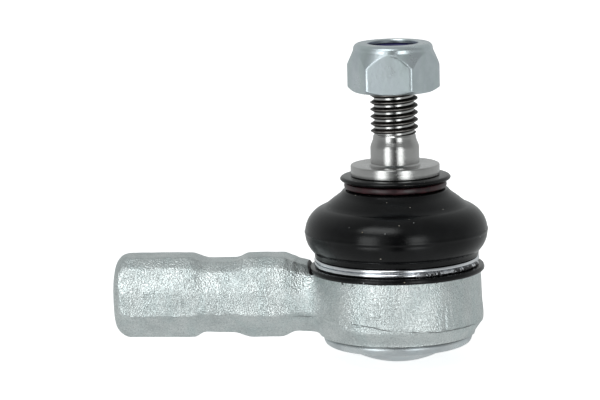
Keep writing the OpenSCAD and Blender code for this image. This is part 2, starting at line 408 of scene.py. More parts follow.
# Heights are in metres from the centre of the ball
zincLook = {
    "light": (0.72, 0.765, 0.76), "dark": (0.56, 0.61, 0.61), "tint": (0.57, 0.66, 0.66),
    "soot": (0.05, 0.05, 0.05), "shoulder": 0.005, "seamLeft": -0.0033, "seamRight": -0.0052,
    # rubber is the rubber-black of the painted shade in the gap under the boot's foot
    "groove": -0.00845, "rubber": (0.018, 0.019, 0.020),
}


def seamMask(tree, place):
    # Broken dark line in the forging's parting seam, which dips towards the far side of the drum
    parts = addNode(tree, "SeparateXYZ", {0: place}).outputs
    dip = ranged(tree, parts[0], -0.012, 0.009, ballCentre.z + zincLook["seamLeft"],
                 ballCentre.z + zincLook["seamRight"])
    ragged = noisy(tree, place, 260.0, 3.0, 0.6)
    line = calculate(tree, "MULTIPLY_ADD", ragged, 0.0008, calculate(tree, "SUBTRACT", dip, 0.0004))
    away = calculate(tree, "ABSOLUTE", calculate(tree, "SUBTRACT", parts[2], line))
    thin = ranged(tree, away, 0.00004, 0.0002, 1.0, 0.0)
    broken = ranged(tree, noisy(tree, place, 170.0, 2.0), 0.46, 0.56)
    kept = scaled(tree, broken, ranged(tree, parts[0], -0.024, -0.017))
    return scaled(tree, thin, kept)


def makeForgedZinc():
    look = zincLook
    material, tree, place = newMaterial("forgedZinc")
    grain = useGroup(tree, blastedGrain, Place=place, Scale=3000.0, Unevenness=0.9)
    tone = useGroup(tree, platingTone, Place=place, Scale=150.0, Light=look["light"], Dark=look["dark"],
                    Tint=look["tint"])
    marks = useGroup(tree, handlingMarks, Place=place, Scale=0.8, Amount=0.8)
    # Painted glints: some crater floors lightened towards near-white
    color = mixed(tree, scaled(tree, grain["Glint"], 0.4), tone["Color"], (0.90, 0.93, 0.92))
    pepper = ranged(tree, noisy(tree, place, 5200.0, 1.0, 0.5), 0.56, 0.68)
    color = mixed(tree, scaled(tree, pepper, 0.6), color, (0.24, 0.27, 0.27))
    color = mixed(tree, scaled(tree, marks["Pit"], 0.5), color, (0.26, 0.28, 0.29))
    color = mixed(tree, scaled(tree, marks["Scratch"], 0.35), color, (0.36, 0.39, 0.40))
    # Soot rubbed off the rubber, just under the boot's foot
    parts = addNode(tree, "SeparateXYZ", {0: place}).outputs
    radius = useGroup(tree, latheLines, Place=place)["Radius"]
    shoulder = ballCentre.z + look["shoulder"]
    near = scaled(tree, ranged(tree, parts[2], shoulder - 0.0016, shoulder - 0.0003),
                  calculate(tree, "LESS_THAN", radius, 0.0185))
    near = scaled(tree, near, ranged(tree, parts[1], -0.014, -0.007, 1.0, 0.0))
    spots = ranged(tree, noisy(tree, place, 620.0, 3.0, 0.6), 0.62, 0.70)
    color = mixed(tree, scaled(tree, near, spots), color, look["soot"])
    seam = seamMask(tree, place)
    color = mixed(tree, scaled(tree, seam, 0.7), color, (0.13, 0.14, 0.145))
    rough = ranged(tree, tone["Cloud"], 0.0, 1.0, 0.42, 0.32)
    metal = ranged(tree, marks["Pit"], 0.0, 1.0, 0.92, 0.4)
    dug = calculate(tree, "SUBTRACT", grain["Height"], scaled(tree, marks["Pit"], 0.8))
    dug = calculate(tree, "SUBTRACT", dug, scaled(tree, marks["Scratch"], 0.4))
    dug = calculate(tree, "SUBTRACT", dug, seam)
    return finishMaterial(material, color, rough, dug, 0.00009, metal)


def makeMachinedZinc():
    material, tree, place = newMaterial("machinedZinc", {"Metallic": 0.95})
    rings = useGroup(tree, latheLines, Place=place, Rings=7000.0)
    tone = useGroup(tree, platingTone, Place=place, Scale=190.0, Light=(0.73, 0.77, 0.78),
                    Dark=(0.56, 0.60, 0.62), Tint=(0.62, 0.70, 0.73))
    marks = useGroup(tree, handlingMarks, Place=place, Scale=1.0, Amount=0.7)
    color = mixed(tree, scaled(tree, marks["Pit"], 0.6), tone["Color"], (0.25, 0.27, 0.28))
    # Painted shade in the groove above the rolled rim
    height = addNode(tree, "SeparateXYZ", {0: place}).outputs[2]
    groove = ballCentre.z + zincLook["groove"]
    away = calculate(tree, "ABSOLUTE", calculate(tree, "SUBTRACT", height, groove))
    grooveShade = scaled(tree, ranged(tree, away, 0.0001, 0.0003, 0.8, 0.0),
                  calculate(tree, "GREATER_THAN", rings["Radius"], 0.0145))
    color = mixed(tree, grooveShade, color, (0.10, 0.11, 0.11))
    # Painted shade, as dark as the rubber, in the corner under the boot's foot
    step = ballCentre.z + zincLook["shoulder"]
    corner = scaled(tree, ranged(tree, height, step - 0.0003, step - 0.0001),
                    ranged(tree, rings["Radius"], 0.0171, 0.0176))
    patchy = ranged(tree, noisy(tree, place, 700.0, 3.0, 0.6), 0.30, 0.42, 0.6, 1.0)
    color = mixed(tree, scaled(tree, corner, patchy), color, zincLook["rubber"])
    rough = ranged(tree, tone["Cloud"], 0.0, 1.0, 0.38, 0.26)
    height = calculate(tree, "SUBTRACT", rings["Height"], scaled(tree, marks["Scratch"], 0.6))
    return finishMaterial(material, color, rough, height, 0.000012)


def makeNutZinc():
    material, tree, place = newMaterial("nutZinc", {"Metallic": 0.96})
    tone = useGroup(tree, platingTone, Place=place, Scale=210.0, Light=(0.64, 0.70, 0.73),
                    Dark=(0.53, 0.59, 0.62), Tint=(0.53, 0.62, 0.61))
    grain = useGroup(tree, blastedGrain, Place=place, Scale=1500.0, Unevenness=1.6)
    marks = useGroup(tree, handlingMarks, Place=place, Scale=1.55, Amount=0.15)
    color = mixed(tree, scaled(tree, marks["Scratch"], 0.2), tone["Color"], (0.42, 0.46, 0.50))
    color = mixed(tree, scaled(tree, marks["Pit"], 0.3), color, (0.40, 0.44, 0.47))
    rough = ranged(tree, tone["Cloud"], 0.0, 1.0, 0.38, 0.27)
    height = calculate(tree, "SUBTRACT", grain["Height"], scaled(tree, marks["Scratch"], 0.12))
    return finishMaterial(material, color, rough, height, 0.000008)


def makeTurnedSteel():
    material, tree, place = newMaterial("turnedSteel", {"Metallic": 1.0})
    rings = useGroup(tree, latheLines, Place=place, Rings=11000.0)
    marks = useGroup(tree, handlingMarks, Place=place, Scale=1.3, Amount=0.7)
    cloud = noisy(tree, place, 260.0, 4.0, 0.6)
    color = mixed(tree, cloud, (0.385, 0.382, 0.375), (0.53, 0.527, 0.52))
    color = mixed(tree, scaled(tree, marks["Pit"], 0.3), color, (0.22, 0.20, 0.19))
    rough = calculate(tree, "MULTIPLY_ADD", rings["Height"], 0.08, ranged(tree, cloud, 0.3, 0.7, 0.10, 0.16))
    height = calculate(tree, "SUBTRACT", rings["Height"], scaled(tree, marks["Scratch"], 0.25))
    return finishMaterial(material, color, rough, height, 0.000014)


def makeThreadSteel():
    # Rolled thread: bright crests, oily brown-black flanks
    material, tree, place = newMaterial("threadSteel", {"Metallic": 1.0})
    rings = useGroup(tree, latheLines, Place=place, Rings=16000.0)
    cloud = noisy(tree, place, 900.0, 3.0, 0.65)
    crest = ranged(tree, calculate(tree, "MULTIPLY_ADD", cloud, 0.00018, rings["Radius"]), 0.00494, 0.00509)
    oil = mixed(tree, ranged(tree, cloud, 0.3, 0.7), (0.014, 0.012, 0.010), (0.060, 0.051, 0.046))
    color = mixed(tree, crest, oil, (0.32, 0.305, 0.29))
    rough = ranged(tree, cloud, 0.3, 0.7, 0.36, 0.55)
    return finishMaterial(material, color, rough, rings["Height"], 0.000012)


def makeBootRubber():
    material, tree, place = newMaterial("bootRubber", {"Specular IOR Level": 0.24})
    specks = useGroup(tree, dustSpecks, Place=place, Scale=1050.0, Share=0.79, Size=0.105)
    bloom = noisy(tree, place, 150.0, 4.0, 0.62)
    skin = noisy(tree, place, 2600.0, 3.0, 0.55)
    color = mixed(tree, ranged(tree, bloom, 0.35, 0.75), (0.0018, 0.0019, 0.0021), (0.0055, 0.0057, 0.0062))
    color = mixed(tree, specks["Mask"], color, specks["Color"])
    rough = calculate(tree, "MULTIPLY_ADD", skin, 0.1, ranged(tree, bloom, 0.3, 0.7, 0.11, 0.17))
    rough = mixedValue(tree, specks["Mask"], rough, 0.8)
    height = calculate(tree, "MULTIPLY_ADD", specks["Mask"], 0.8, skin)
    return finishMaterial(material, color, rough, height, 0.00002)


def makeNeckRingRubber():
    material, tree, place = newMaterial("neckRingRubber")
    cloud = noisy(tree, place, 500.0, 4.0, 0.6)
    color = mixed(tree, ranged(tree, cloud, 0.35, 0.7), (0.009, 0.003, 0.004), (0.034, 0.006, 0.009))
    rough = ranged(tree, cloud, 0.3, 0.7, 0.26, 0.44)
    return finishMaterial(material, color, rough, cloud, 0.00005)


def makeSpringWire(low, high):
    # Bright drawn wire; rubber is smeared over the lower turn on one side
    material, tree, place = newMaterial("springWire")
    drawn = noisy(tree, stretched(tree, place, (500.0, 500.0, 9000.0)), 1.0, 2.0)
    parts = addNode(tree, "SeparateXYZ", {0: place}).outputs
    lowTurn = ranged(tree, parts[2], low, high, 1.0, 0.0)
    oneSide = ranged(tree, parts[0], 0.0035, 0.0075)
    torn = ranged(tree, noisy(tree, place, 800.0, 3.0, 0.65), 0.42, 0.50)
    smear = scaled(tree, scaled(tree, lowTurn, oneSide), torn)
    steel = mixed(tree, drawn, (0.66, 0.68, 0.71), (0.90, 0.92, 0.95))
    color = mixed(tree, smear, steel, (0.014, 0.014, 0.016))
    metal = ranged(tree, smear, 0.0, 1.0, 1.0, 0.0)
    bright = ranged(tree, drawn, 0.3, 0.7, 0.10, 0.2)
    rough = mixedValue(tree, smear, bright, 0.5)
    height = calculate(tree, "MULTIPLY_ADD", smear, 2.0, drawn)
    return finishMaterial(material, color, rough, height, 0.00001, metal)


def makeNylon():
    material, tree, place = newMaterial("nylon")
    cloud = noisy(tree, place, 700.0, 3.0)
    color = mixed(tree, cloud, (0.018, 0.017, 0.085), (0.055, 0.050, 0.17))
    rough = ranged(tree, cloud, 0.3, 0.7, 0.32, 0.5)
    return finishMaterial(material, color, rough, cloud, 0.00003)


def makeSpringSteel():
    material, tree, place = newMaterial("springSteel", {"Metallic": 1.0})
    cloud = noisy(tree, place, 400.0, 4.0, 0.6)
    color = mixed(tree, cloud, (0.10, 0.10, 0.11), (0.34, 0.32, 0.30))
    rough = ranged(tree, cloud, 0.3, 0.7, 0.25, 0.45)
    rings = useGroup(tree, latheLines, Place=place, Rings=8000.0)
    return finishMaterial(material, color, rough, rings["Height"], 0.00001)


def makeAcetal():
    material, tree, place = newMaterial("acetal")
    grease = ranged(tree, noisy(tree, place, 300.0, 3.0, 0.6), 0.5, 0.65)
    color = mixed(tree, grease, (0.80, 0.78, 0.71), (0.62, 0.53, 0.33))
    rough = ranged(tree, grease, 0.0, 1.0, 0.42, 0.14)
    rings = useGroup(tree, latheLines, Place=place, Rings=6000.0)
    return finishMaterial(material, color, rough, rings["Height"], 0.00001)


forgedZinc = makeForgedZinc()
machinedZinc = makeMachinedZinc()
nutZinc = makeNutZinc()
turnedSteel = makeTurnedSteel()
threadSteel = makeThreadSteel()
bootRubber = makeBootRubber()
neckRingRubber = makeNeckRingRubber()
nylon = makeNylon()
print("materials ready")


# Housing: a forging with machined seats, bores and rim

forging = {
    # Half of the shank's section as (across, up), from its top flat to its bottom flat
    "section": [(3.2, 8.5), (5.6, 6.6), (8.5, 1.8), (8.5, -3), (3.6, -8.5)],
    # Share of the section against the distance from the stud's axis
    "topShare": [(12, 0.72), (17.3, 0.755), (20.2, 0.83), (21.7, 0.915), (23.8, 1), (31.2, 1), (33.9, 0.885),
                 (39.7, 0.88), (43.4, 1)],
    "bottomShare": [(12, 0.97), (15.8, 0.89), (21, 0.865), (24.1, 1), (30.4, 1), (34.4, 0.88), (40.2, 0.875),
                    (42.6, 1)],
    "sideShare": [(13, 1.37), (14.5, 1.26), (16, 1.12), (17.8, 1.01), (19.8, 0.975), (23.6, 1), (31, 1),
                  (34, 0.985), (39.6, 0.985), (43, 1)],
    "step": 0.6, "endFace": 5.6, "endCurve": (3.7, 4.4),
    "skin": 0.3, "thin": 0.36, "soften": 4, "rootSoften": 5, "rootRings": 7,
    # Height of the parting seam against the place along the shank
    "seam": [(-60, -3.1), (-42, -3.0), (-38, -2.7), (-33, -2.7), (-30, -3.1), (-16, -3.4), (-8, -3.6),
             (-5, -3.9), (0.5, -4.3), (7, -5.0), (18, -5.3)],
    "seamHeight": 0.22, "seamWidth": 0.2, "seamGutter": 0.1,
    # Dents as azimuth from the front, height, half width, half height and depth
    "dents": [(37, -2.6, 0.35, 2.6, 0.14), (41, -1.2, 0.3, 1.6, 0.10), (33, -4.2, 0.9, 0.35, 0.10),
              (-8, -1.5, 1.1, 0.8, 0.07), (12, 1.4, 1.4, 0.7, 0.06), (-120, -2.0, 1.2, 1.0, 0.10),
              (150, 0.5, 0.5, 2.2, 0.12), (95, -1.0, 1.3, 0.9, 0.09)],
    "waves": ((0.14, 0.09), (0.45, 0.04), (1.3, 0.02)),
}
seats = {
    "shoulder": 5.0, "bootStep": 18.75, "bootGroove": 15.0, "groovesTop": 8.1, "lipRadius": 15.65,
    "mouthCone": (8.6, 10.0), "socket": 12.1, "lipUnder": 5.6, "capSeat": 13.95, "capLow": -9.92,
    "capHigh": -8.42, "rimOpening": 12.6, "rimLow": -10.5,
}
rodBore = {"core": 5.25, "crest": 6.0, "depth": 25.0, "leadIn": 6.15, "drillPoint": 31}


def shankBlank(reach):
    bm = bmesh.new()
    half = forging["section"]
    section = half + [(-across, up) for across, up in reversed(half)]
    count = math.ceil((reach - 11) / forging["step"])
    cap = bm.faces.new([bm.verts.new((0, across, up)) for across, up in section])
    for station in range(count + 1):
        distance = reach + 1 - forging["step"] * station
        top = along(forging["topShare"], distance)
        bottom = along(forging["bottomShare"], distance)
        side = along(forging["sideShare"], distance)
        if station:
            worn = cap
            grown = bmesh.ops.extrude_face_region(bm, geom=[cap])["geom"]
            cap = next(item for item in grown if isinstance(item, bmesh.types.BMFace))
            if station > 1:
                bmesh.ops.delete(bm, geom=[worn], context="FACES_ONLY")
        for loop, (across, up) in zip(cap.loops, section):
            loop.vert.co = (-distance, across * side, up * (top if up > 0 else bottom))
    bmesh.ops.recalc_face_normals(bm, faces=bm.faces)
    return bm


def weather(bm):
    # Parting seam, dents and the gentle waves of a hammered surface
    bm.normal_update()
    for vert in bm.verts:
        place, normal = vert.co.copy(), vert.normal.copy()
        move = sum(size * noise.noise(place * scale) for scale, size in forging["waves"])
        wander = 0.25 * noise.noise((place.x * 0.5, 7, math.copysign(3, place.y)))
        line = along(forging["seam"], place.x) + wander
        ragged = 0.35 + 1.3 * noise.noise((place.x * 0.45, 3, math.copysign(5, place.y)))
        away = (place.z - line) / forging["seamWidth"]
        move += forging["seamHeight"] * max(0, ragged) * math.exp(-away * away)
        move -= forging["seamGutter"] * max(0, ragged) * math.exp(-(away + 2.2) ** 2)
        radius = math.hypot(place.x, place.y)
        if radius < 19:
            azimuth = math.degrees(math.atan2(place.x, -place.y))
            for middle, height, halfWidth, halfHeight, depth in forging["dents"]:
                sideways = math.radians((azimuth - middle + 180) % 360 - 180) * radius / halfWidth
                upwards = (place.z - height) / halfHeight
                move -= depth * math.exp(-sideways * sideways - upwards * upwards)
        vert.co += normal * move


def makeHousing():
    low, high = cadBox("housing")
    reach, drum = -low.x, high.y
    blank = [(0, low.z - 0.4, 0), (16.1, low.z - 0.4, 0), (16.1, -7.8, 0.5), (drum - 0.5, -5.9, 0.4),
             (drum, -5.2, 0.6), (drum - 0.5, 5, 0), (drum - 0.5, high.z + 0.4, 0), (0, high.z + 0.4, 0)]
    piece = newPiece("housingForging", turned(blank), forgedZinc)
    ontoShank = Matrix.Rotation(math.radians(-90), 4, "Y")
    shank = newPiece("shank", shankBlank(reach), forgedZinc)
    across, inwards = forging["endCurve"]
    ending = [(0, 5, 0), (14, 5, 0), (14, 30, 0), (forging["endFace"] + across, reach - inwards, 0)]
    ending += [(forging["endFace"] + across * math.cos(angle), reach - inwards + inwards * math.sin(angle), 0)
               for angle in (math.radians(step * 10) for step in range(1, 9))]
    ending += [(forging["endFace"] - 0.6, reach, 0), (0, reach, 0)]
    combine(shank, "INTERSECT", turned(ending), turn=ontoShank)
    combine(piece, "UNION", takeMesh(shank))
    print("forging joined")

    def shape(bm):
        smooth(bm, bm.verts, forging["soften"])
        for ring in range(forging["rootRings"]):  # the root's fillet, softened most in its middle
            root = [vert for vert in bm.verts if ring * 0.6 - 21 < vert.co.x < -11.2 - ring * 0.15
                    and abs(vert.co.y) > 5 + ring * 0.35 and abs(vert.co.z) < 9.5 - ring * 0.15]
            under = [vert for vert in bm.verts if ring * 0.4 - 19.5 < vert.co.x < -11.2 - ring * 0.15
                     and abs(vert.co.y) < 9 and vert.co.z < -5 - ring * 0.15]
            smooth(bm, root, forging["rootSoften"])
            smooth(bm, under, forging["rootSoften"])
        weather(bm)
        for vert in bm.verts:
            vert.co.x = max(vert.co.x, -reach)

    softened(piece, forging["skin"], forging["thin"], shape)
    print("forging shaped")

    seat, shoulder, mouth = seats, seats["shoulder"], high.z
    bootSeat = [(0, mouth, 0), (seat["lipRadius"] - 0.35, mouth, 0), (seat["lipRadius"], mouth - 0.4, 0),
                (seat["lipRadius"], seat["groovesTop"] + 0.3, 0),
                (seat["bootGroove"], seat["groovesTop"], 0.12), (seat["bootGroove"], shoulder, 0.15),
                (seat["bootStep"], shoulder, 0.3),
                (seat["bootStep"], mouth + 6, 0), (0, mouth + 6, 0)]
    rimOutside = [(20, -8.25, 0), (15.75, -8.25, 0), (15.35, -8.55, 0.08), (15.55, -8.9, 0.1),
                  (15.5, -9.3, 0), (15.2, -10.0, 0.3), (14.3, seat["rimLow"], 0.3), (0, seat["rimLow"], 0),
                  (0, -12, 0), (20, -12, 0)]
    socket = [(0, -12, 0), (seat["rimOpening"] + 0.3, -12, 0),
              (seat["rimOpening"] + 0.3, seat["rimLow"], 0), (seat["rimOpening"], -10.2, 0.1),
              (seat["rimOpening"], seat["capLow"], 0),
              (seat["capSeat"], seat["capLow"], 0), (seat["capSeat"], seat["capHigh"], 0),
              (seat["socket"] + 0.3, seat["capHigh"], 0), (seat["socket"], seat["capHigh"] + 0.3, 0),
              (seat["socket"], seat["lipUnder"], 0.2), (seat["mouthCone"][0], seat["lipUnder"], 0.15),
              (seat["mouthCone"][1], mouth, 0), (seat["mouthCone"][1] + 0.6, mouth + 1, 0), (0, mouth + 1, 0)]
    for outline in (bootSeat, rimOutside, socket):
        combine(piece, "DIFFERENCE", turned(outline, 160), machinedZinc)
    core, leadIn, bottom = rodBore["core"], rodBore["leadIn"] + 0.1, reach - rodBore["depth"]
    point = core * math.tan(math.radians(rodBore["drillPoint"]))
    drill = [(0, reach + 1, 0), (leadIn, reach + 1, 0), (leadIn, reach, 0), (core, reach - 0.9, 0),
             (core, bottom, 0), (0, bottom - point, 0)]
    tap = threaded(core - 0.05, rodBore["crest"], bottom - 1, reach + 2)
    thread = newPiece("rodThread", tap, machinedZinc)
    combine(thread, "INTERSECT", turned([(0, reach + 1, 0), (7.5, reach + 1, 0), (7.5, bottom + 2.5, 0),
                                         (core - 0.6, bottom + 0.7, 0), (0, bottom + 0.7, 0)]))
    combine(piece, "DIFFERENCE", turned(drill), machinedZinc, ontoShank)
    combine(piece, "DIFFERENCE", takeMesh(thread), machinedZinc, ontoShank)
    return finishPiece(piece, "forged_zinc", "housing", body="housing")


housing = makeHousing()


# Closing cap: pressed dome with a flange under the rolled rim

cap = {"flange": 13.9, "thickness": 1.46, "domeEdge": 12.45, "corner": 0.5, "crown": 20.4}


def makeCap():
    low, high = cadBox("closing_cap")
    centre = low.z + cap["crown"]
    edge = math.degrees(math.asin(cap["domeEdge"] / cap["crown"]))
    outer = arc(0, centre, cap["crown"], 270, 270 + edge, 16)[1:]
    inner = arc(0, centre, cap["crown"] - cap["thickness"], 270 + edge - 3, 270, 16)[:-1]
    flangeLow = outer[-1][1]
    outline = [(0, low.z, 0)] + outer[:-1]
    outline += [(cap["domeEdge"], flangeLow, 0.25), (cap["flange"], flangeLow, 0.2),
                (cap["flange"], high.z, 0.2), (inner[0][0] + 0.35, high.z, 0.3)]
    outline += inner[1:] + [(0, low.z + cap["thickness"], 0)]
    piece = newPiece("closingCap", turned(outline), machinedZinc)
    return finishPiece(piece, "cap_steel", "closing_cap", body="housing")


closingCap = makeCap()


# Ball stud: ball, neck, boot land, flange, pin, relief and rolled thread

stud = {
    "ballRadius": 9.95, "ballFlat": -9.55, "neck": 4.9, "land": 7.5, "flange": 9.3, "flangeThickness": 2.3,
    "pin": 5.1, "pinLength": 4.0, "relief": 4.45, "threadStart": 6.1, "threadRoot": 4.1,
    "threadCrest": 4.95, "centreHole": 1.1,
}


def makeStud():
    high = cadBox("ball_stud")[1]
    seat, flange = -ballCentre.z * 1000, stud["flange"]
    under, pinEnd = seat - stud["flangeThickness"], seat + stud["pinLength"]
    threadStart = seat + stud["threadStart"]
    tip, ball, neck, pin = high.z, stud["ballRadius"], stud["neck"], stud["pin"]
    root, crest = stud["threadRoot"], stud["threadCrest"]
    bottom = math.degrees(math.asin(stud["ballFlat"] / ball))
    top = math.degrees(math.acos(neck / ball))
    outline = [(0, stud["ballFlat"], 0)] + arc(0, 0, ball, bottom, top - 3, 40)
    outline += [(neck, 9.1, 0.4), (neck, 16.6, 0), (5.5, 18, 0), (stud["land"], 20.6, 0.3),
                (stud["land"], under, 0), (flange, under, 0.25), (flange, seat, 0.28), (pin + 0.5, seat, 0),
                (pin + 0.35, seat - 0.06, 0), (pin, seat + 0.25, 0), (pin, pinEnd - 0.15, 0.4),
                (stud["relief"], pinEnd + 1.4, 0.6), (stud["relief"], threadStart - 0.1, 0.1),
                (root + 0.05, threadStart + 0.4, 0), (root + 0.05, tip - 1.2, 0), (root - 0.4, tip, 0.25),
                (stud["centreHole"], tip, 0), (0, tip - 1.9, 0)]
    piece = newPiece("ballStud", turned(outline, 144), turnedSteel)
    thread = newPiece("studThread", threaded(root, crest, threadStart - 1, tip + 1), threadSteel)
    ends = [(0, threadStart + 0.5, 0), (root - 0.1, threadStart + 0.1, 0),
            (crest + 0.3, threadStart + 1.0, 0), (crest + 0.3, tip - 1.1, 0), (root - 0.2, tip - 0.25, 0),
            (0, tip - 2.4, 0)]
    combine(thread, "INTERSECT", turned(ends))
    combine(piece, "UNION", takeMesh(thread), threadSteel)
    return finishPiece(piece, "turned_steel", "ball_stud", body="stud", sharp=28)


ballStud = makeStud()


# Dust boot: foot in the groove, round bulge, waist for the ring and flared lip

boot = {
    "hook": 15.05, "foot": 18.35, "footLow": 5.05, "wireSeat": 16.31, "bulge": 5.7, "bulgeHeight": 13.4,
    "wall": 1.6, "neck": 9.6, "lip": 11.6, "land": 7.55, "mouldLine": 0.1, "sag": 0.16, "footWave": 0.07,
    "bendFrom": 0.0086, "bendTo": 0.0222,
}


def makeBoot():
    high = cadBox("dust_boot")[1]
    size, middle = boot["bulge"], boot["bulgeHeight"]
    lip, top, foot, hook, neck = boot["lip"], high.z, boot["footLow"], boot["hook"], boot["neck"]
    across = high.x - boot["mouldLine"] - size
    rounded = arc(across, middle, size, -48, 74, 34)
    seam = [(high.x, middle + 0.1, 0), (high.x, middle + 0.3, 0)]
    below = [point for point in rounded if point[1] < middle - 0.05]
    above = [point for point in rounded if point[1] > middle + 0.45]
    outline = [(hook, foot, 0.1), (boot["foot"] - 0.2, foot, 0.25), (boot["foot"], foot + 0.45, 0.15),
               (boot["foot"] - 0.2, foot + 1.1, 0.12), (boot["wireSeat"] + 0.1, foot + 1.2, 0.1),
               (boot["wireSeat"], foot + 3.1, 0.1), (17.15, foot + 3.2, 0.2)]
    outline += below + seam + above
    outline += [(13.0, 20.45, 0), (11.6, 21.45, 0.5), (10.95, 22.25, 0.2), (neck, 22.4, 0.12),
                (neck, 24.0, 0.12), (lip - 0.35, 24.15, 0.25), (lip, 24.6, 0.15), (lip - 0.3, 25.1, 0.3),
                (9.6, top, 0.15), (boot["land"], top, 0.1), (boot["land"], 21.4, 0.2), (8.6, 20.6, 0.3)]
    outline += arc(across, middle, size - boot["wall"], 84, -48, 24)
    outline += [(15.75, foot + 4.2, 0.2), (15.75, foot + 3.35, 0.1), (hook, foot + 3.05, 0.1)]
    bm = turned(outline, 180)
    long = [edge for edge in bm.edges if edge.calc_length() > 1.1
            and abs(edge.verts[0].co.z - edge.verts[1].co.z) > 0.5]
    bmesh.ops.subdivide_edges(bm, edges=long, cuts=1, use_grid_fill=True)
    bm.normal_update()
    for vert in bm.verts:
        place = vert.co
        bulging = max(0, 1 - abs(place.z - middle) / 7)
        footing = max(0, 1 - abs(place.z - foot - 0.5) / 0.8) if place.xy.length > 16.4 else 0
        vert.co -= vert.normal * boot["sag"] * bulging * max(0, noise.noise(place * 0.09) + 0.2)
        vert.co.z += boot["footWave"] * footing * (noise.noise(place * 0.35) + 0.45)
    piece = newPiece("dustBoot", bm, bootRubber)
    finishPiece(piece, "boot_rubber", "dust_boot", sharp=50)
    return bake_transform(piece)


dustBoot = makeBoot()


# Rings of the boot

def makeNeckRing():
    low, high = cadBox("upper_boot_ring")
    outer, inner = high.x, boot["neck"] + 0.05
    outline = [(inner, low.z, 0.1), (outer - 0.25, low.z, 0.2), (outer, (low.z + high.z) / 2, 0.4),
               (outer - 0.25, high.z, 0.2), (inner, high.z, 0.1)]
    bm = turned(outline, 144)
    for vert in bm.verts:
        vert.co.z += 0.05 * noise.noise(vert.co * 0.4)
    piece = newPiece("neckRing", bm, neckRingRubber)
    return finishPiece(piece, "neck_ring_rubber", "upper_boot_ring", body="boot_neck", sharp=50)


# Angles in degrees: where the step between the turns starts, its length and the gap at the ends
clampRing = {"wire": 0.45, "spacing": 0.9, "backAngle": 118, "jog": 26, "endGap": 5, "endRound": 0.2}


def makeClampRing():
    low, high = cadBox("lower_boot_ring")
    wire, spacing = clampRing["wire"], clampRing["spacing"]
    radius = high.x - 0.46
    lowTurn = (low.z + high.z - spacing) / 2
    begin = clampRing["backAngle"] + clampRing["endGap"]
    full = 360 - clampRing["jog"] - clampRing["endGap"]
    bm = bmesh.new()
    bmesh.ops.create_circle(bm, segments=20, radius=wire, cap_ends=True)
    upright = Matrix.Rotation(math.radians(90), 3, "X")
    bmesh.ops.rotate(bm, verts=bm.verts, cent=(0, 0, 0), matrix=upright)
    bmesh.ops.translate(bm, verts=bm.verts, vec=(radius, 0, lowTurn))
    toStart = Matrix.Rotation(math.radians(begin), 3, "Z")
    bmesh.ops.rotate(bm, verts=bm.verts, cent=(0, 0, 0), matrix=toStart)
    tip = bm.faces[:]
    for angle, climb, steps in ((full, 0, 150), (clampRing["jog"], spacing, 18), (full, 0, 150)):
        turn = bmesh.ops.spin(bm, geom=tip, axis=(0, 0, 1), cent=(0, 0, 0), dvec=(0, 0, climb / steps),
                              angle=math.radians(angle), steps=steps, use_merge=False)
        tip = [item for item in turn["geom_last"] if isinstance(item, bmesh.types.BMFace)]
    bmesh.ops.remove_doubles(bm, verts=bm.verts, dist=0.0005)
    inside = [face for face in bm.faces if len(face.verts) > 4
              and all(len(edge.link_faces) > 2 for edge in face.edges)]
    bmesh.ops.delete(bm, geom=inside, context="FACES_ONLY")
    ends = [edge for face in bm.faces if len(face.verts) > 4 for edge in face.edges]
    bmesh.ops.bevel(bm, geom=ends, offset=clampRing["endRound"], offset_type="OFFSET", affect="EDGES",
                    segments=3, profile=0.5, material=-1, clamp_overlap=True)
    bmesh.ops.recalc_face_normals(bm, faces=bm.faces)
    middle = ballCentre.z + (lowTurn + spacing / 2) / 1000
    springWire = makeSpringWire(middle - 0.00012, middle + 0.00006)
    piece = newPiece("clampRing", bm, springWire)
    return finishPiece(piece, "spring_wire", "lower_boot_ring", body="housing", sharp=50)


neckRing = makeNeckRing()
wireRing = makeClampRing()


# Lock nut: hexagon, turned corners, collar closed over the nylon ring

nut = {
    "flats": 8.5, "hexHeight": 8.6, "collar": 8.3, "collarRound": 1.1, "edgeRound": 0.45, "yaw": -3,
    "underChamfer": 0.9,
    "topCone": 3.6, "lipOpening": 5.3, "pocket": 7.05, "pocketLow": 7.1, "lipThickness": 0.7,
    "threadRoot": 4.2, "threadCrest": 5.05, "skin": 0.15, "thin": 0.3, "soften": 3,
}


